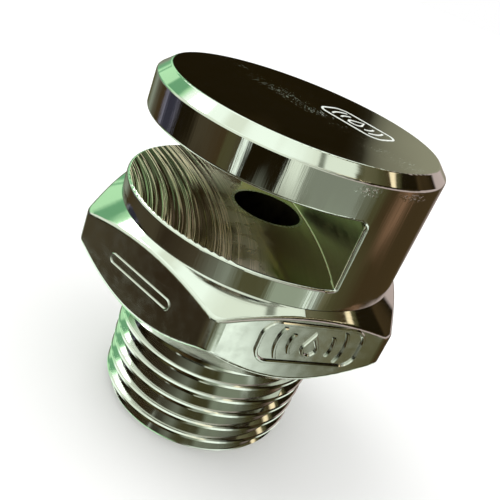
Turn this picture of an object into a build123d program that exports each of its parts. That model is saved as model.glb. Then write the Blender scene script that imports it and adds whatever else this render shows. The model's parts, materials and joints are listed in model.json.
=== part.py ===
from build123d import *

# Open water-curtain spray head: chrome-plated brass, R 1/2 taper inlet thread, slotted outlet.
# Frame: +Z is the nozzle axis, from the inlet to the cap; the slot opens towards -Y.
# The origin is the centre of the inlet end. All sizes are in millimetres.

import os
from math import atan, cos, degrees, hypot, pi, radians, sin

# Heights along the axis
thread_len = 13.3
hex_height = 7.6
band_height = 2.0
slot_height = 6.3
cap_height = 4.1
seam_z = thread_len + hex_height
floor_z = seam_z + band_height
roof_z = floor_z + slot_height
top_z = roof_z + cap_height

# Spray head: band, back wall and cap, milled from one bar
bar_r = 13.75
cap_bevel_radial = 1.05
cap_bevel_axial = 0.95
cutter_r = 48.0
wall_y = 3.8
roof_corner_r = 0.65
floor_corner_r = 0.12
edge_round = 0.25

# Hexagon
hex_af = 29.0
hex_turn = 3.4
hex_end_r = 13.64
top_bevel_slope = 0.53
bottom_bevel_slope = 1.09
corner_round = 1.7
flat_round = 0.4

# R 1/2 taper thread, 14 to the inch, 1 in 16 on the diameter
pitch = 1.814
gauge_r = 20.955 / 2
gauge_len = 8.2
taper = 1 / 32
thread_depth = 1.162
thread_small_r = gauge_r - gauge_len * taper
lead_r = 9.6
lead_len = 1.1
spare_len = 5.0

# Joint between the head and the hexagon
spigot_r = 8.95
socket_r = 9.0
socket_floor_z = thread_len + 1.3
washer_thickness = 1.2
spigot_end_z = socket_floor_z + washer_thickness
washer_inner_r = 5.6
washer_outer_r = 8.85
pin_r = 0.8
pin_y = 11.4
pin_depth = 2.8
pin_bottom_z = seam_z - pin_depth
pin_top_z = seam_z + pin_depth

# Waterway
inlet_r = 7.25
shoulder_z = 2.9
waterway_r = 6.5
head_bore_r = 5.0
bush_shoulder_z = floor_z - 1.2
bush_bottom_z = floor_z - 5.2
bush_nose_r = 3.7
orifice_r = 3.4
bush_throat_z = floor_z - 3.4
bush_mouth_r = 4.5

# Strainer and its snap ring
strainer_r = 5.3
strainer_wall = 0.5
strainer_top_z = 12.5
strainer_flange_r = 7.15
strainer_flange_z = 2.15
hole_r = 0.8
hole_rows = 4
holes_per_row = 10
ring_wire_r = 0.5
ring_centre_r = 7.2
ring_z = 1.65
ring_gap = 70.0

# Raised marks on two neighbouring flats
mark_height = 0.2
mark_soft_share = 0.45
stroke = 0.32
sign_flat = hex_turn
sign_z = seam_z - 3.0
sign_shift = 0.75
sign_frame = (10.0, 4.2)
sign_frame_r = 1.5
sign_arc_radii = (2.1, 3.3)
sign_arc_angle = 28
drop_r = 0.85
drop_tip = 1.75
loop_flat = hex_turn - 60
loop_z = seam_z - 3.5
loop_size = (7.8, 1.1)
loop_wall = 0.22
loop_height = 0.12


def turned(*points):
    """Solid of revolution about Z of a closed outline of (radius, height) points."""
    outline = Plane.XZ * make_face(Polyline(*points, close=True))
    return revolve(outline, Axis.Z)


def tube(outer_r, inner_r, low_z, high_z):
    return turned((inner_r, low_z), (outer_r, low_z), (outer_r, high_z), (inner_r, high_z))


def disc(radius, low_z, high_z):
    return Pos(0, 0, low_z) * extrude(Circle(radius), high_z - low_z)


def radius_of(point):
    return hypot(point.X, point.Y)


def rim_edges(solid, radius, low_z, high_z):
    """Edges that lie on the cylinder of a given radius, between two heights."""
    return [
        edge
        for edge in solid.edges()
        if all(
            abs(radius_of(v) - radius) < 1e-3 and low_z - 1e-3 < v.Z < high_z + 1e-3
            for v in edge.vertices()
        )
        and abs(radius_of(edge @ 0.5) - radius) < 1e-3
    ]


def slot_cutter():
    """Side-milling cutter: a disc with a corner radius on its upper edge and a slight one on its lower edge."""
    cutter = disc(cutter_r, floor_z, roof_z)
    cutter = fillet(cutter.edges().filter_by(GeomType.CIRCLE).sort_by(Axis.Z)[-1], roof_corner_r)
    cutter = fillet(cutter.edges().filter_by(GeomType.CIRCLE).sort_by(Axis.Z)[0], floor_corner_r)
    return Pos(0, wall_y - cutter_r, 0) * cutter


def spray_head():
    blank = turned(
        (0, seam_z),
        (bar_r, seam_z),
        (bar_r, top_z - cap_bevel_axial),
        (bar_r - cap_bevel_radial, top_z),
        (0, top_z),
    )
    head = blank - slot_cutter()
    rims = rim_edges(head, bar_r, floor_z, roof_z)
    rims += rim_edges(head, bar_r, top_z - cap_bevel_axial, top_z)
    rims += rim_edges(head, bar_r - cap_bevel_radial, top_z, top_z)
    head = fillet(rims, edge_round)
    head += disc(spigot_r, spigot_end_z, seam_z)
    head -= disc(head_bore_r, spigot_end_z, bush_shoulder_z)
    head -= disc(bush_nose_r, bush_shoulder_z, floor_z)
    head -= Pos(0, pin_y, 0) * disc(pin_r, seam_z, pin_top_z)
    return head


def thread_radius(z):
    return thread_small_r + z * taper


def thread_groove():
    """Helical groove of the 55 degree form, flared at the mouth to leave a rounded crest."""
    start_z = -1.5 * pitch
    run = thread_len + 3 * pitch
    start_r = thread_radius(start_z)
    path = Helix(pitch, run, start_r, center=(0, 0, start_z), cone_angle=degrees(atan(taper)))
    half_widths = [(0.35, 0.83), (0.0, 0.79), (-0.14, 0.64), (0.14 - thread_depth, 0.17), (-thread_depth, 0.07)]
    upper = [(start_r + depth, start_z + width) for depth, width in half_widths]
    lower = [(start_r + depth, start_z - width) for depth, width in reversed(half_widths)]
    profile = Plane.XZ * make_face(Polyline(*upper, *lower, close=True))
    return sweep(profile, path=path, is_frenet=True)


def threaded_shank():
    """The groove is cut in a longer taper bar, which is then trimmed to the shank's outline."""
    low_z = -spare_len
    high_z = thread_len + spare_len
    bar = turned((0, low_z), (thread_radius(low_z), low_z), (thread_radius(high_z), high_z), (0, high_z))
    shank = turned(
        (0, 0),
        (lead_r, 0),
        (thread_radius(lead_len), lead_len),
        (thread_radius(thread_len), thread_len),
        (0, thread_len),
    )
    return (bar - thread_groove()) & shank


def hexagon():
    """Hexagon with a shallow cone turned on its upper end and a steep one on its lower end."""
    corner_r = hex_af / 2 / cos(pi / 6)
    outer_r = corner_r + 1
    prism = Pos(0, 0, thread_len) * extrude(RegularPolygon(corner_r, 6, rotation=hex_turn - 90), hex_height)
    prism = fillet(prism.edges().filter_by(Axis.Z), corner_round)
    cones = turned(
        (0, thread_len),
        (hex_end_r, thread_len),
        (outer_r, thread_len + (outer_r - hex_end_r) * bottom_bevel_slope),
        (outer_r, seam_z - (outer_r - hex_end_r) * top_bevel_slope),
        (hex_end_r, seam_z),
        (0, seam_z),
    )
    body = prism & cones
    return fillet(body.edges().filter_by(lambda e: abs(radius_of(e @ 0.5) - hex_end_r) > 0.1), flat_round)


def flat_plane(angle, z, shift):
    """Work plane on the hexagon flat whose outward normal is at this angle about Z."""
    normal = Vector(cos(radians(angle)), sin(radians(angle)), 0)
    along = Vector(-normal.Y, normal.X, 0)
    origin = normal * (hex_af / 2) + along * shift + Vector(0, 0, z)
    return Plane(origin=origin, x_dir=along, z_dir=normal)


def drop_face(radius, tip):
    """Water drop with its round end at the origin and its point up, joined by tangent lines."""
    touch = radius * radius / tip
    half = radius * (1 - (radius / tip) ** 2) ** 0.5
    point = make_face(Polyline((0, tip), (half, touch), (-half, touch), close=True))
    return Circle(radius) + point


def spray_arc(radius):
    """Arc of a thin ring that opens towards the drop."""
    ring = Circle(radius + stroke / 2) - Circle(radius - stroke / 2)
    half_width = radius * sin(radians(sign_arc_angle))
    return ring & Pos(radius, 0) * Rectangle(radius, 2 * half_width)


def rounded_ring(width, height, corner_r, wall):
    inner = RectangleRounded(width - 2 * wall, height - 2 * wall, corner_r - wall)
    return RectangleRounded(width, height, corner_r) - inner


def drop_sign():
    """Plain rounded frame around the outline of a water drop, with arcs of spray on both sides."""
    sign = rounded_ring(*sign_frame, sign_frame_r, stroke)
    sign += Pos(0, -0.4) * (drop_face(drop_r, drop_tip) - drop_face(drop_r - stroke, drop_tip - 2.4 * stroke))
    for radius in sign_arc_radii:
        sign += spray_arc(radius) + Rot(0, 0, 180) * spray_arc(radius)
    return sign


def raised(sketch, plane, height):
    """Low ridges on a flat, with softened outer edges."""
    ridges = extrude(plane * sketch, height)
    outer = ridges.edges().filter_by(lambda e: plane.to_local_coords(e @ 0.5).Z > height - 0.01)
    return chamfer(outer, mark_soft_share * height)


def hex_body():
    body = hexagon()
    loop = rounded_ring(*loop_size, loop_size[1] / 2 - 0.01, loop_wall)
    body += raised(drop_sign(), flat_plane(sign_flat, sign_z, sign_shift), mark_height)
    body += raised(loop, flat_plane(loop_flat, loop_z, 0), loop_height)
    body += threaded_shank()
    body -= disc(inlet_r, 0, shoulder_z)
    body -= disc(waterway_r, shoulder_z, socket_floor_z)
    body -= disc(socket_r, socket_floor_z, seam_z)
    body -= Pos(0, pin_y, 0) * disc(pin_r, pin_bottom_z, seam_z)
    body -= snap_ring_groove()
    return body


def snap_ring_groove():
    return tube(ring_centre_r + ring_wire_r, inlet_r - 0.1, ring_z - ring_wire_r, ring_z + ring_wire_r)


def orifice_bush():
    return turned(
        (bush_mouth_r, bush_bottom_z),
        (head_bore_r, bush_bottom_z),
        (head_bore_r, bush_shoulder_z),
        (bush_nose_r, bush_shoulder_z),
        (bush_nose_r, floor_z),
        (orifice_r, floor_z),
        (orifice_r, bush_throat_z),
    )


def seat_washer():
    return tube(washer_outer_r, washer_inner_r, socket_floor_z, spigot_end_z)


def locking_pin():
    return Pos(0, pin_y, 0) * disc(pin_r, pin_bottom_z, pin_top_z)


def strainer_holes():
    row_step = (strainer_top_z - shoulder_z) / (hole_rows + 0.5)
    holes = []
    for row in range(hole_rows):
        z = shoulder_z + row_step * (row + 0.75)
        for index in range(holes_per_row):
            turn = 360 / holes_per_row * (index + row % 2 / 2)
            hole = Rot(0, 0, turn) * Pos(strainer_r, 0, z) * Rot(0, 90, 0) * Cylinder(hole_r, 2)
            holes.append(hole)
    end_spots = [(0, 0)] + [(2.9 * cos(i * pi / 3), 2.9 * sin(i * pi / 3)) for i in range(6)]
    holes += [Pos(x, y, strainer_top_z) * Cylinder(hole_r, 3) for x, y in end_spots]
    return holes


def inlet_strainer():
    cup = disc(strainer_r, strainer_flange_z, strainer_top_z)
    cup += disc(strainer_flange_r, strainer_flange_z, shoulder_z)
    cup -= disc(strainer_r - strainer_wall, strainer_flange_z, strainer_top_z - strainer_wall)
    return cup - strainer_holes()


def snap_ring():
    """Round wire bent to an open ring, sprung into its groove below the strainer."""
    start = Plane(origin=(ring_centre_r, 0, ring_z), x_dir=(1, 0, 0), z_dir=(0, 1, 0))
    wire = revolve(start * Circle(ring_wire_r), Axis.Z, 360 - ring_gap)
    return Rot(0, 0, 90 + ring_gap / 2) * wire


parts = {
    "spray_head": spray_head,
    "hex_body": hex_body,
    "orifice_bush": orifice_bush,
    "seat_washer": seat_washer,
    "locking_pin": locking_pin,
    "inlet_strainer": inlet_strainer,
    "strainer_snap_ring": snap_ring,
}

os.makedirs("parts", exist_ok=True)
for node, build in parts.items():
    shape = build()
    export_step(shape, f"parts/{node}.step")
    print(node, "valid", shape.is_valid, "volume", round(shape.volume, 1))
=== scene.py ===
import json
import math

import bmesh
import bpy
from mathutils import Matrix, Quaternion, Vector


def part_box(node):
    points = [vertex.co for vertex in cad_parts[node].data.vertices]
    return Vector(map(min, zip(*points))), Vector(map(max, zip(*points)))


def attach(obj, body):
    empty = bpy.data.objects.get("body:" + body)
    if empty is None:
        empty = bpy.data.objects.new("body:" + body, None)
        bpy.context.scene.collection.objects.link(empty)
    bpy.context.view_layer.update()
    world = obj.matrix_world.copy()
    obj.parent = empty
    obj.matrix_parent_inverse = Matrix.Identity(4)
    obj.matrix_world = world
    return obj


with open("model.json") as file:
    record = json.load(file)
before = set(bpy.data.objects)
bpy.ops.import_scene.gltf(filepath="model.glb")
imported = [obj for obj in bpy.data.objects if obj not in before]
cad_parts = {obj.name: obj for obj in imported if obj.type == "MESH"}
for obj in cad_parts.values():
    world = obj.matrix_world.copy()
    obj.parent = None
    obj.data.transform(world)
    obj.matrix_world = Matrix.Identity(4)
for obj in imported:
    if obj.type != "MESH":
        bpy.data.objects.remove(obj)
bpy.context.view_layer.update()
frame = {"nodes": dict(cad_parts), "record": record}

MM = 0.001

# Camera: the photograph's place, seen without its sideways squeeze
CAMERA_AZIMUTH = 64.7
CAMERA_ELEVATION = 25.3
CAMERA_DISTANCE = 62.0 * MM
CAMERA_ROLL = 22.3
CAMERA_TARGET = Vector((0.0, 0.0, 18.0 * MM))
CAMERA_LENS = 44.5

# Heights and radii of the CAD model, most of them read from the frame
BAR_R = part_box("spray_head")[1].x
TOP_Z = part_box("spray_head")[1].z
SEAM_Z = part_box("hex_body")[1].z
FLOOR_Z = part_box("orifice_bush")[1].z
SLOT_HEIGHT = 6.3 * MM
ROOF_Z = FLOOR_Z + SLOT_HEIGHT
THREAD_TOP_Z = frame["record"]["mounts"][0]["dims"]["length_mm"] * MM
WATERWAY_R = 9.1 * MM
BUSH_R = 4.6 * MM

# Slotting cutter: its radius, where it stopped, and the rings between which its marks fade out
CUTTER_R = 48 * MM
WALL_Y = 3.8 * MM
ROUGH_RING = 40.0 * MM
SMOOTH_RING = 45.0 * MM

# Mark on the cap
MARK_TURN = math.radians(28.7)
MARK_PLACE = (0.5 * MM, 5.0 * MM)
MARK_WIDTH, MARK_DEPTH, MARK_CORNER = 7.1 * MM, 3.9 * MM, 1.2 * MM
DROP_CENTRE = Vector((0, -0.35 * MM, 0))
DROP_R, DROP_TIP = 0.65 * MM, 1.5 * MM
SPRAY_RADII = (1.6 * MM, 2.5 * MM)
SPRAY_SPREAD = math.radians(28)
MARK_LINE = 0.22 * MM
MARK_HEIGHT = 0.025 * MM
MARK_SUNK = 0.005 * MM

# How far the room's edges sway, and how bright its reflections are
SWAY = 0.25
ROOM_STRENGTH = 1.3
LAMP_STRENGTH = 7.0

# The floor reaches far enough to fill the view from any side
STUDIO_RADIUS = 200
VIEW_DEPTH = 500

# Linear colours: of the room, then of the plating with painted highlight and shade in the slot, the
# bore's painted shade, the small pieces and the studio
MINT_WHITE = (1.00, 1.15, 1.00)
PALE = (0.80, 0.90, 0.74)
MINT = (0.48, 0.85, 0.48)
GREEN = (0.16, 0.40, 0.20)
GREY = (0.22, 0.25, 0.19)
PALE_GREY = (0.30, 0.36, 0.26)
OLIVE = (0.075, 0.072, 0.030)
DARK = (0.060, 0.050, 0.028)
DEEP_OLIVE = (0.145, 0.14, 0.075)
OLIVE_GREY = (0.25, 0.25, 0.17)
BROWN = (0.050, 0.033, 0.013)
RUST = (0.24, 0.14, 0.08)
BLUE_GREY = (0.22, 0.22, 0.28)
BLUE_BLACK = (0.035, 0.035, 0.05)
BLACK = (0.010, 0.007, 0.002)
UMBER = (0.028, 0.020, 0.010)
CREAM = (1.10, 0.95, 0.60)
PINK_GREY = (0.48, 0.40, 0.37)
CHROME = (0.66, 0.655, 0.63)
# Pink-cream, brighter than the chrome: painted highlight colour for the fillet between the slot's floor
# and wall
CORNER_HIGHLIGHT_TINT = (0.85, 0.62, 0.52)
# Darker bronze for the slot's wall and roof: painted shade of the recess under the cap
SLOT_SHADE_BRONZE = (0.30, 0.255, 0.14)
# Cream, brighter than the chrome: painted highlight on the cutter streaks of the slot floor
STREAK_HIGHLIGHT_CREAM = (1.0, 0.80, 0.66)
SMOOTH_FLOOR = (0.66, 0.61, 0.47)
# Dark brown between the cutter streaks: painted shade
GROOVE_PAINTED_SHADE = (0.26, 0.21, 0.15)
# Near-black, mottled: painted shade inside the bores
BORE_SHADE_DARK = (0.010, 0.008, 0.005)
BORE_SHADE_BROWN = (0.035, 0.026, 0.015)
BORE_SHADE_PLAIN = (0.03, 0.022, 0.013)
STEEL = (0.62, 0.61, 0.58)
WIRE = (0.30, 0.30, 0.30)
PTFE_DARK = (0.74, 0.74, 0.70)
PTFE_LIGHT = (0.86, 0.86, 0.83)
MARK_DARK = (0.60, 0.62, 0.58)
MARK_LIGHT = (0.86, 0.88, 0.84)
FLOOR_WHITE = (0.88, 0.88, 0.87)
STUDIO_WHITE = (1.0, 1.0, 1.0, 1.0)


class Graph:
    """Short-hand for adding shader nodes and linking them."""

    def __init__(self, owner):
        owner.use_nodes = True
        self.tree = owner.node_tree
        self.tree.nodes.clear()

    def add(self, kind, inputs=None, **settings):
        node = self.tree.nodes.new("ShaderNode" + kind)
        for name, value in settings.items():
            setattr(node, name, value)
        for name, value in (inputs or {}).items():
            self.put(node.inputs[name], value)
        return node

    def put(self, socket, value):
        if isinstance(value, bpy.types.NodeSocket):
            self.tree.links.new(value, socket)
        else:
            socket.default_value = value

    def math(self, operation, first, second):
        return self.add("Math", {0: first, 1: second}, operation=operation).outputs[0]

    def vector(self, operation, first, second, output="Vector"):
        return self.add("VectorMath", {0: first, 1: second}, operation=operation).outputs[output]

    def remap(self, value, low, high, to_low=0.0, to_high=1.0):
        """Clamped straight line that takes low to to_low and high to to_high."""
        ends = {"From Min": low, "From Max": high, "To Min": to_low, "To Max": to_high}
        return self.add("MapRange", {"Value": value, **ends}).outputs["Result"]

    def ramp(self, value, stops):
        node = self.add("ValToRGB", {"Fac": value})
        elements = node.color_ramp.elements
        while len(elements) < len(stops):
            elements.new(1.0)
        for element, (place, colour) in zip(elements, stops):
            element.position = place
        for element, (place, colour) in zip(elements, stops):
            rgb = colour if isinstance(colour, tuple) else (colour,) * 3
            element.color = (*rgb, 1.0)
        return node.outputs["Color"]

    def mix(self, factor, first, second):
        node = self.add("Mix", {"Factor": factor}, data_type="RGBA")
        self.put(node.inputs[6], first)
        self.put(node.inputs[7], second)
        return node.outputs[2]


def azimuth_share(degrees):
    """Place of a compass direction on a ramp that runs once round the object."""
    return degrees / 360 + 0.5


def around(*stops):
    return [(azimuth_share(degrees), colour) for degrees, colour in stops]


# ---------------------------------------------------------------- materials


def metal(name, colour, roughness, build):
    """Metal with a fine bump and a roughness that varies, both made by build(graph, place, shader)."""
    material = bpy.data.materials.new(name)
    g = Graph(material)
    output = g.add("OutputMaterial")
    plain = {"Metallic": 1.0, "Base Color": (*colour, 1.0), "Roughness": roughness}
    shader = g.add("BsdfPrincipled", plain)
    g.put(output.inputs["Surface"], shader.outputs["BSDF"])
    build(g, g.add("TexCoord").outputs["Object"], shader)
    return material


def stretched(g, place, scale):
    return g.add("Mapping", {"Vector": place, "Scale": scale}).outputs["Vector"]


def noise(g, vector, scale, detail=3.0, roughness=0.55):
    settings = {"Vector": vector, "Scale": scale, "Detail": detail, "Roughness": roughness}
    return g.add("TexNoise", settings).outputs["Fac"]


def bump(g, shader, height, strength, distance):
    node = g.add("Bump", {"Height": height, "Strength": strength, "Distance": distance})
    g.put(shader.inputs["Normal"], node.outputs["Normal"])


def vary_roughness(g, shader, value, low, high):
    g.put(shader.inputs["Roughness"], g.remap(value, 0.3, 0.7, low, high))


def between(g, value, low, high, soft):
    """1 where the value is between low and high, fading out over soft inside both ends."""
    return g.math("MULTIPLY", g.remap(value, low, low + soft), g.remap(value, high, high - soft))


def polished_side(g, place, shader):
    """Polishing lines along the axis in wide bands, and a row of casting pits below the bevel."""
    lines = noise(g, stretched(g, place, (1.0, 1.0, 0.04)), 2600.0, 4.0)
    smears = noise(g, stretched(g, place, (1.0, 1.0, 0.10)), 600.0, 3.0)
    parts = g.add("SeparateXYZ", {"Vector": place}).outputs
    row = between(g, parts["Z"], TOP_Z - 2.0 * MM, TOP_Z - 1.1 * MM, 0.25 * MM)
    pits = g.ramp(noise(g, place, 3200.0, 2.0, 0.6), [(0.52, 0.0), (0.62, 1.0)])
    drift = g.ramp(noise(g, place, 130.0, 1.0), [(0.36, 0.0), (0.46, 1.0)])
    across = g.vector("DOT_PRODUCT", place, (0.7, 0.7, 0.0), "Value")
    facing = g.remap(across, 9.0 * MM, 11.0 * MM)
    sparse = g.math("MULTIPLY", g.math("MULTIPLY", pits, drift), g.math("MULTIPLY", row, facing))
    height = g.math("ADD", g.math("MULTIPLY", lines, smears), g.math("MULTIPLY", sparse, 1.6))
    bump(g, shader, height, 0.4, 0.05 * MM)
    vary_roughness(g, shader, smears, 0.03, 0.13)


def mirror_top(g, place, shader):
    """Near-black mirror with a slow ripple and a drift of tiny pits in the plating."""
    ripple = noise(g, place, 120.0, 1.0)
    pits = g.ramp(noise(g, place, 4200.0, 1.0), [(0.62, 0.0), (0.74, 1.0)])
    clouds = noise(g, stretched(g, place, (1.0, 0.45, 1.0)), 150.0, 2.0)
    drift = g.ramp(clouds, [(0.38, 0.0), (0.52, 1.0)])
    across = g.vector("DOT_PRODUCT", place, (-0.48, 0.88, 0.0), "Value")
    row = between(g, across, -2.5 * MM, 2.5 * MM, 2 * MM)
    sparse = g.math("MULTIPLY", g.math("MULTIPLY", pits, drift), row)
    bump(g, shader, g.math("ADD", g.math("MULTIPLY", ripple, 1.5), sparse), 0.6, 0.03 * MM)
    vary_roughness(g, shader, noise(g, place, 800.0, 4.0), 0.02, 0.07)


def cutter_rings(g, place):
    """Distance from the slotting cutter's axis, which is what its tool marks follow."""
    flattened = g.vector("MULTIPLY", place, (1.0, 1.0, 0.0))
    return g.vector("DISTANCE", flattened, (0.0, WALL_Y - CUTTER_R, 0.0), "Value")


def milled_floor(g, place, shader):
    """Arcs left by the slotting cutter, deep away from the wall, with haze where they fade out; in the
    deep marks the streaks carry a painted cream highlight and the colour between them is painted shade.
    """
    ring = cutter_rings(g, place)
    parts = g.add("SeparateXYZ", {"Vector": place}).outputs
    drawn_out = g.math("MULTIPLY", parts["X"], 0.012)
    along = g.add("CombineXYZ", {"X": ring, "Y": drawn_out}).outputs["Vector"]
    coarse = noise(g, along, 1700.0, 3.0, 0.65)
    fine = noise(g, along, 5200.0, 2.0, 0.6)
    lines = g.math("ADD", coarse, g.math("MULTIPLY", fine, 0.15))
    edge = g.math("ADD", ring, g.math("MULTIPLY", noise(g, place, 300.0), 5 * MM))
    depth = g.remap(edge, ROUGH_RING, SMOOTH_RING, 1.0, 0.05)
    bump(g, shader, g.math("MULTIPLY", lines, depth), 1.0, 0.17 * MM)
    streak = g.ramp(lines, [(0.58, 0.0), (0.61, 1.0), (0.63, 1.0), (0.66, 0.0)])
    clouds = noise(g, stretched(g, place, (1.0, 0.5, 1.0)), 420.0, 3.0)
    patch = g.ramp(clouds, [(0.35, 0.25), (0.6, 0.85)])
    haze = g.math("MULTIPLY", between(g, edge, ROUGH_RING, SMOOTH_RING + 1 * MM, 3 * MM), patch)
    g.put(shader.inputs["Metallic"], g.remap(haze, 0.0, 1.0, 1.0, 0.6))
    dull = g.math("MAXIMUM", g.math("MULTIPLY", streak, depth), haze)
    g.put(shader.inputs["Roughness"], g.remap(dull, 0.0, 1.0, 0.08, 0.5))
    # Painted highlight on the streaks and painted shade between them, in the deep marks
    streak_highlight_and_shade = g.mix(streak, (*GROOVE_PAINTED_SHADE, 1.0), (*STREAK_HIGHLIGHT_CREAM, 1.0))
    g.put(shader.inputs["Base Color"], g.mix(depth, (*SMOOTH_FLOOR, 1.0), streak_highlight_and_shade))


def slot_wall(g, place, shader):
    """Wall and roof of the slot: faint tool lines along the cut; their darker bronze base colour, set
    with the material, is painted shade of the recess.
    """
    lines = noise(g, stretched(g, place, (0.1, 0.1, 1.0)), 2600.0, 3.0)
    bump(g, shader, lines, 0.15, 0.02 * MM)
    vary_roughness(g, shader, lines, 0.28, 0.42)


def dark_bore(g, place, shader):
    """Bare bore, dull and not plated: near-black painted shade of the hole's inside, mottled between
    darker and browner.
    """
    bore_mottle = noise(g, place, 700.0, 4.0)
    g.put(shader.inputs["Base Color"], g.ramp(bore_mottle, [(0.3, BORE_SHADE_DARK), (0.7, BORE_SHADE_BROWN)]))
    bump(g, shader, bore_mottle, 0.2, 0.03 * MM)
    vary_roughness(g, shader, bore_mottle, 0.45, 0.7)


def forged_flat(g, place, shader):
    """Hexagon flat: the forging's slow ripple under bright plating, with fine brush strokes."""
    ripple = noise(g, place, 240.0, 2.0)
    strokes = noise(g, stretched(g, place, (0.12, 0.12, 1.0)), 3600.0, 3.0)
    bump(g, shader, g.math("ADD", ripple, g.math("MULTIPLY", strokes, 0.05)), 0.3, 0.10 * MM)
    vary_roughness(g, shader, noise(g, place, 900.0, 4.0), 0.06, 0.20)


def smooth_turned(g, place, shader):
    """Turned bevel: almost a mirror, with faint rings about the axis."""
    flattened = g.vector("MULTIPLY", place, (1.0, 1.0, 0.0))
    radius = g.add("VectorMath", {0: flattened}, operation="LENGTH").outputs["Value"]
    rings = noise(g, g.add("CombineXYZ", {"X": radius}).outputs["Vector"], 5000.0, 2.0)
    bump(g, shader, rings, 0.1, 0.01 * MM)
    vary_roughness(g, shader, rings, 0.03, 0.08)


def rolled_thread(g, place, shader):
    """Plated thread flanks with tool lines along the helix and duller roots."""
    lines = noise(g, stretched(g, place, (0.15, 0.15, 1.0)), 4200.0, 3.0)
    dull = noise(g, place, 260.0, 3.0)
    bump(g, shader, lines, 0.08, 0.01 * MM)
    vary_roughness(g, shader, dull, 0.04, 0.10)


def drawn_steel(g, place, shader):
    lines = noise(g, stretched(g, place, (1.0, 1.0, 0.2)), 2800.0, 3.0)
    bump(g, shader, lines, 0.25, 0.02 * MM)
    vary_roughness(g, shader, lines, 0.2, 0.38)


def matt_white(name, dark, light, grain):
    """Matt white with a faint mottle: pressed PTFE, or the frosted line of a laser mark."""
    material = bpy.data.materials.new(name)
    g = Graph(material)
    output = g.add("OutputMaterial")
    shader = g.add("BsdfPrincipled", {"Roughness": 0.55})
    g.put(output.inputs["Surface"], shader.outputs["BSDF"])
    place = g.add("TexCoord").outputs["Object"]
    mottle = noise(g, place, grain, 4.0)
    g.put(shader.inputs["Base Color"], g.ramp(mottle, [(0.3, dark), (0.7, light)]))
    bump(g, shader, mottle, 0.2, 0.03 * MM)
    vary_roughness(g, shader, mottle, 0.5, 0.7)
    return material


def dress(node, *rules):
    """Gives each face of a CAD node the first material whose rule (centre, normal) holds."""
    mesh = frame["nodes"][node].data
    mesh.materials.clear()
    for material, rule in rules:
        mesh.materials.append(material)
    for face in mesh.polygons:
        for index, (material, rule) in enumerate(rules):
            if rule(face.center, face.normal):
                face.material_index = index
                break


def anywhere(centre, normal):
    return True


def on_top(centre, normal):
    return normal.z > 0.99 and centre.z > TOP_Z - 0.1 * MM


def on_slot_floor(centre, normal):
    return normal.z > 0.99 and abs(centre.z - FLOOR_Z) < 0.1 * MM


def on_cap_bevel(centre, normal):
    return centre.z > TOP_Z - 1.3 * MM and normal.z > 0.1


def on_thread(centre, normal):
    return centre.z < THREAD_TOP_Z - 0.05 * MM


def on_hex_bevel(centre, normal):
    return centre.z > SEAM_Z - 0.1 * MM or (normal.z > 0.3 and math.hypot(centre.x, centre.y) > BAR_R)


def in_slot(centre, normal):
    return FLOOR_Z < centre.z < ROOF_Z and math.hypot(centre.x, centre.y) < BAR_R - 0.5 * MM


def on_slot_corner(centre, normal):
    """Fine fillet between the slot's floor and its wall."""
    return in_slot(centre, normal) and 0.05 < normal.z < 0.98


def in_waterway(centre, normal):
    """Faces near the axis that look towards it."""
    return math.hypot(centre.x, centre.y) < WATERWAY_R and centre.x * normal.x + centre.y * normal.y < 0


def in_bush_bore(centre, normal):
    return math.hypot(centre.x, centre.y) < BUSH_R and centre.z < FLOOR_Z - 0.05 * MM


side = metal("chrome_polished_side", CHROME, 0.1, polished_side)
top = metal("chrome_mirror_top", CHROME, 0.05, mirror_top)
floor_finish = metal("chrome_milled_floor", CHROME, 0.15, milled_floor)
bevel = metal("chrome_turned_bevel", CHROME, 0.05, smooth_turned)
flat = metal("chrome_forged_flat", CHROME, 0.12, forged_flat)
# The corner fillet's pink-cream base colour paints the colour of its highlight line
corner = metal("chrome_slot_corner_highlight_tint", CORNER_HIGHLIGHT_TINT, 0.05, smooth_turned)
# The slot's darker bronze base colour is painted shade
slot = metal("chrome_slot_wall_painted_shade", SLOT_SHADE_BRONZE, 0.1, slot_wall)
# The bore's near-black colour is painted shade
bore = metal("bare_bore_painted_shade", BORE_SHADE_PLAIN, 0.6, dark_bore)
thread = metal("chrome_thread", CHROME, 0.1, rolled_thread)
steel = metal("turned_steel", STEEL, 0.25, drawn_steel)
spring = metal("spring_wire", WIRE, 0.3, drawn_steel)
seal = matt_white("pressed_ptfe", PTFE_DARK, PTFE_LIGHT, 900.0)
etched = matt_white("laser_line", MARK_DARK, MARK_LIGHT, 5000.0)

dress(
    "spray_head",
    (top, on_top), (floor_finish, on_slot_floor), (bevel, on_cap_bevel), (corner, on_slot_corner),
    (slot, in_slot), (bore, in_bush_bore), (side, anywhere),
)
dress("hex_body", (bore, in_waterway), (thread, on_thread), (bevel, on_hex_bevel), (flat, anywhere))
dress("orifice_bush", (bore, in_bush_bore), (steel, anywhere))
dress("locking_pin", (steel, anywhere))
dress("inlet_strainer", (steel, anywhere))
dress("strainer_snap_ring", (spring, anywhere))
dress("seat_washer", (seal, anywhere))


# ---------------------------------------------------------------- etched mark


def ribbon(bm, points, width, closed=False):
    """Flat strip of even width along a line of points."""
    count = len(points)
    left, right = [], []
    for i, point in enumerate(points):
        before = points[i - 1] if closed or i else point
        after = points[(i + 1) % count] if closed or i < count - 1 else point
        way = (after - before).normalized()
        side_step = Vector((-way.y, way.x, 0)) * width / 2
        left.append(bm.verts.new(point + side_step))
        right.append(bm.verts.new(point - side_step))
    last = count if closed else count - 1
    for i in range(last):
        j = (i + 1) % count
        bm.faces.new((right[i], right[j], left[j], left[i]))


def arc(centre, radius, first, last, steps):
    """Points on an arc in the mark's plane, from one angle to another in radians."""
    turns = [first + (last - first) * i / steps for i in range(steps + 1)]
    return [centre + Vector((math.cos(turn), math.sin(turn), 0)) * radius for turn in turns]


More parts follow.
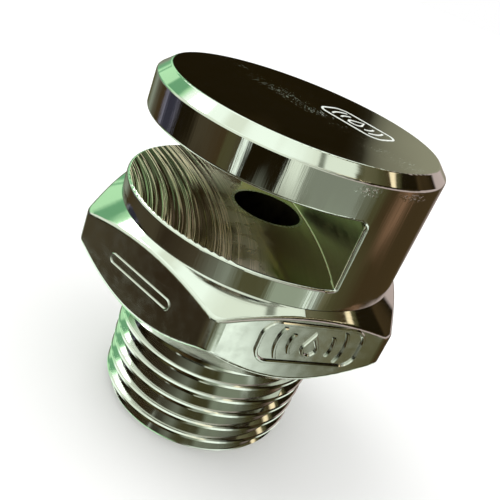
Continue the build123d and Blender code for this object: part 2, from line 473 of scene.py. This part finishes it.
def drop_outline(centre, radius, tip):
    """Round drop that runs up to a point."""
    touch = math.acos(radius / tip)
    first = math.pi / 2 + touch
    belly = arc(centre, radius, first, first + 2 * (math.pi - touch), 28)
    return [centre + Vector((0, tip, 0))] + belly


def rounded_frame(width, height, corner):
    points = []
    for index, (x, y) in enumerate([(1, 1), (-1, 1), (-1, -1), (1, -1)]):
        middle = Vector((x * (width / 2 - corner), y * (height / 2 - corner), 0))
        points += arc(middle, corner, index * math.pi / 2, (index + 1) * math.pi / 2, 8)
    return points


def top_mark():
    """Generic white mark on the cap: a plain frame around a water drop between arcs of spray."""
    bm = bmesh.new()
    ribbon(bm, rounded_frame(MARK_WIDTH, MARK_DEPTH, MARK_CORNER), MARK_LINE, closed=True)
    ribbon(bm, drop_outline(DROP_CENTRE, DROP_R, DROP_TIP), MARK_LINE, closed=True)
    for radius in SPRAY_RADII:
        for middle in (0, math.pi):
            spray = arc(Vector((0, 0, 0)), radius, middle - SPRAY_SPREAD, middle + SPRAY_SPREAD, 12)
            ribbon(bm, spray, MARK_LINE)
    raised = bmesh.ops.extrude_face_region(bm, geom=bm.faces[:])["geom"]
    lifted = [part for part in raised if isinstance(part, bmesh.types.BMVert)]
    bmesh.ops.translate(bm, verts=lifted, vec=(0, 0, MARK_HEIGHT + MARK_SUNK))
    bmesh.ops.recalc_face_normals(bm, faces=bm.faces[:])
    mesh = bpy.data.meshes.new("top_mark")
    bm.to_mesh(mesh)
    bm.free()
    mark = bpy.data.objects.new("top_mark", mesh)
    bpy.context.collection.objects.link(mark)
    mesh.materials.append(etched)
    mark.location = (*MARK_PLACE, TOP_Z - MARK_SUNK)
    mark.rotation_euler = (0, 0, MARK_TURN)
    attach(mark, "root")


top_mark()


# ---------------------------------------------------------------- stage and light


def studio_floor():
    """Plain pale floor, which the metal doesn't mirror, so the plating keeps its dark, warm look."""
    bpy.ops.mesh.primitive_circle_add(vertices=64, radius=STUDIO_RADIUS, fill_type="NGON")
    ground = bpy.context.object
    ground.name = "studio_floor"
    material = bpy.data.materials.new("studio_floor")
    g = Graph(material)
    output = g.add("OutputMaterial")
    shader = g.add("BsdfPrincipled", {"Base Color": (*FLOOR_WHITE, 1.0), "Roughness": 0.9})
    g.put(output.inputs["Surface"], shader.outputs["BSDF"])
    ground.data.materials.append(material)
    ground.visible_glossy = False


def band(g, height, low, high):
    """0 below the elevation low and 1 above high, in degrees."""
    return g.remap(height, math.sin(math.radians(low)), math.sin(math.radians(high)))


def climbing(*stops):
    """Ramp stops by elevation in degrees, for a ramp over the direction's height."""
    return [(math.sin(math.radians(degrees)), colour) for degrees, colour in stops]


def room_above(g, turn, height):
    """Upper half of the room: pale ceiling, a window's side with green, and a dark side."""
    window_side = g.ramp(height, climbing(
        (0, GREY), (7, GREEN), (11, MINT), (13, GREEN), (14, MINT), (24, MINT), (26, GREEN),
        (32, GREEN), (34, MINT), (38, MINT_WHITE), (56, MINT_WHITE), (60, PALE), (66, PALE),
        (70, MINT_WHITE), (80, MINT_WHITE), (90, PALE),
    ))
    pale_side = g.ramp(height, climbing(
        (0, PALE_GREY), (8, PALE), (38, PALE), (44, MINT_WHITE), (58, MINT_WHITE), (62, PALE),
        (67, PALE), (70, MINT_WHITE), (80, MINT_WHITE), (90, PALE),
    ))
    dark_side = g.ramp(height, climbing(
        (0, PINK_GREY), (14, PINK_GREY), (18, BLACK), (27, BROWN), (29, BLACK), (38, BLACK),
        (40, OLIVE), (42, OLIVE), (43, CREAM), (44.5, CREAM), (45.5, BROWN), (52, OLIVE),
        (59, DEEP_OLIVE), (61, OLIVE), (62, PALE), (71, PALE), (72, GREY), (74, GREY), (75, PALE),
        (90, PALE),
    ))
    back_side = g.ramp(height, climbing(
        (0, BLACK), (14, BLACK), (22, BROWN), (24, OLIVE), (27, PALE), (36, MINT_WHITE),
        (60, MINT_WHITE), (90, PALE),
    ))
    dark_share = g.ramp(turn, around((-180, 0.0), (-30, 0.0), (36, 1.0), (150, 1.0), (151, 0.0)))
    back_share = g.ramp(turn, around((-180, 0.0), (128, 0.0), (131, 1.0), (168, 1.0), (175, 0.0)))
    pale_share = g.ramp(turn, around((-180, 0.0), (-136, 0.0), (-120, 1.0), (150, 1.0), (151, 0.0)))
    corner_share = g.ramp(turn, around(
        (-180, 0.0), (126, 0.0), (130, 1.0), (143, 1.0), (147, 0.6), (149, 0.05), (151, 0.0),
    ))
    low_corner = g.math("MULTIPLY", corner_share, band(g, height, 30, 16))
    back = g.mix(low_corner, back_side, (*OLIVE_GREY, 1.0))
    bright = g.mix(pale_share, window_side, pale_side)
    return g.mix(back_share, g.mix(dark_share, bright, dark_side), back)


def room_below(g, turn, height):
    """Lower half of the room in three rings, one below the other."""
    beside = g.ramp(turn, around(
        (-180, OLIVE), (-165, GREY), (-150, BROWN), (-139, BROWN), (-138, BLUE_GREY),
        (-134, BLUE_BLACK), (-124, BLUE_BLACK), (-120, BLUE_GREY), (-119, BLACK), (-104, BLACK),
        (-94, DARK), (-71, BROWN), (-67, OLIVE), (-60, DARK), (-59, MINT_WHITE),
        (-57, MINT_WHITE), (-56, BLACK), (-24, BLACK), (-22, PALE), (-14, PALE), (-8, GREY),
        (30, GREY), (50, OLIVE), (62, BROWN), (76, RUST), (84, BROWN), (120, BROWN),
        (150, PINK_GREY), (170, OLIVE),
    ))
    below = g.ramp(turn, around(
        (-180, GREY), (-165, GREY), (-152, BROWN), (-128, DARK), (-104, DARK), (-92, UMBER),
        (-60, DARK), (-34, GREY), (-22, OLIVE), (-6, OLIVE), (2, PALE_GREY), (29, PALE_GREY),
        (32, MINT_WHITE), (35, MINT_WHITE), (39, GREY), (44, DEEP_OLIVE), (52, OLIVE),
        (76, BROWN), (120, BROWN), (160, OLIVE),
    ))
    deep = g.ramp(turn, around(
        (-180, MINT), (-150, MINT), (-140, MINT_WHITE), (-116, MINT_WHITE), (-104, GREY),
        (-98, DARK), (-84, BLACK), (-68, OLIVE), (-50, BROWN), (-30, BLACK), (-18, OLIVE),
        (-12, GREY), (0, PALE_GREY), (8, PALE), (14, MINT_WHITE), (35, MINT_WHITE), (41, GREY),
        (50, OLIVE), (66, BLACK), (82, OLIVE), (90, PALE), (128, MINT_WHITE), (138, GREY),
        (150, BROWN), (166, MINT),
    ))
    return g.mix(band(g, height, -33, -36), g.mix(band(g, height, -19, -24), beside, below), deep)


def room_colour(g, way):
    """Colour of the room in a direction."""
    turn = g.add("TexGradient", {"Vector": way}, gradient_type="RADIAL").outputs["Fac"]
    height = g.add("SeparateXYZ", {"Vector": way}).outputs["Z"]
    return g.mix(band(g, height, -8, 0), room_below(g, turn, height), room_above(g, turn, height))


def unsteady(g, way):
    """The direction, swayed a few degrees from place to place, so that no edge is straight."""
    sway = g.add("TexNoise", {"Vector": way, "Scale": 4.0, "Detail": 2.0}).outputs["Color"]
    centred = g.vector("SUBTRACT", sway, (0.5, 0.5, 0.5))
    scaled = g.add("VectorMath", {0: centred, "Scale": SWAY}, operation="SCALE").outputs["Vector"]
    swayed = g.vector("ADD", way, scaled)
    return g.add("VectorMath", {0: swayed}, operation="NORMALIZE").outputs["Vector"]


def towards(azimuth, elevation):
    """Unit vector of a compass direction and a height, both in degrees."""
    a, e = math.radians(azimuth), math.radians(elevation)
    return Vector((math.cos(e) * math.cos(a), math.cos(e) * math.sin(a), math.sin(e)))


def lamp_glare(g, way, azimuth, elevation, spread):
    """Strength of a round lamp seen in the metal."""
    facing = g.vector("DOT_PRODUCT", way, towards(azimuth, elevation), "Value")
    edge, core = math.cos(math.radians(spread)), math.cos(math.radians(spread * 0.5))
    return g.remap(facing, edge, core, 0.0, LAMP_STRENGTH)


def room_reflections():
    """World light: plain pale for the camera, and a room with a pale ceiling for reflections."""
    world = bpy.data.worlds.new("studio")
    bpy.context.scene.world = world
    g = Graph(world)
    way = g.add("TexCoord").outputs["Generated"]
    lamps = g.math("ADD", lamp_glare(g, way, -130, 44, 8), lamp_glare(g, way, -151, 42, 6))
    strength = g.math("ADD", lamps, ROOM_STRENGTH)
    reflected = g.add("Background", {"Color": room_colour(g, unsteady(g, way)), "Strength": strength})
    plain = g.add("Background", {"Color": STUDIO_WHITE, "Strength": 1.0})
    is_glossy = g.add("LightPath").outputs["Is Glossy Ray"]
    output = g.add("OutputWorld")
    blend = g.add("MixShader", {"Fac": is_glossy})
    g.put(blend.inputs[1], plain.outputs["Background"])
    g.put(blend.inputs[2], reflected.outputs["Background"])
    g.put(output.inputs["Surface"], blend.outputs["Shader"])


def soft_light(name, azimuth, elevation, softness, strength):
    """Distant soft light from a wide part of the sky, which the metal doesn't mirror."""
    light = bpy.data.lights.new(name, "SUN")
    light.angle = math.radians(softness)
    light.energy = strength
    lamp = bpy.data.objects.new(name, light)
    bpy.context.collection.objects.link(lamp)
    lamp.rotation_mode = "QUATERNION"
    lamp.rotation_quaternion = (-towards(azimuth, elevation)).to_track_quat("-Z", "Y")
    lamp.visible_glossy = False


def camera():
    data = bpy.data.cameras.new("camera")
    data.lens = CAMERA_LENS
    data.clip_start = 1 * MM
    data.clip_end = VIEW_DEPTH
    cam = bpy.data.objects.new("camera", data)
    bpy.context.collection.objects.link(cam)
    a, e = math.radians(CAMERA_AZIMUTH), math.radians(CAMERA_ELEVATION)
    back = Vector((math.sin(a) * math.cos(e), -math.cos(a) * math.cos(e), math.sin(e)))
    cam.location = CAMERA_TARGET + back * CAMERA_DISTANCE
    cam.rotation_mode = "QUATERNION"
    roll = Quaternion((0, 0, 1), math.radians(CAMERA_ROLL))
    cam.rotation_quaternion = (-back).to_track_quat("-Z", "Y") @ roll
    bpy.context.scene.camera = cam


studio_floor()
room_reflections()
soft_light("key", -130, 55, 50, 1.0)
soft_light("fill", 40, 50, 70, 0.5)
camera()
bpy.context.scene.view_settings.view_transform = "Standard"
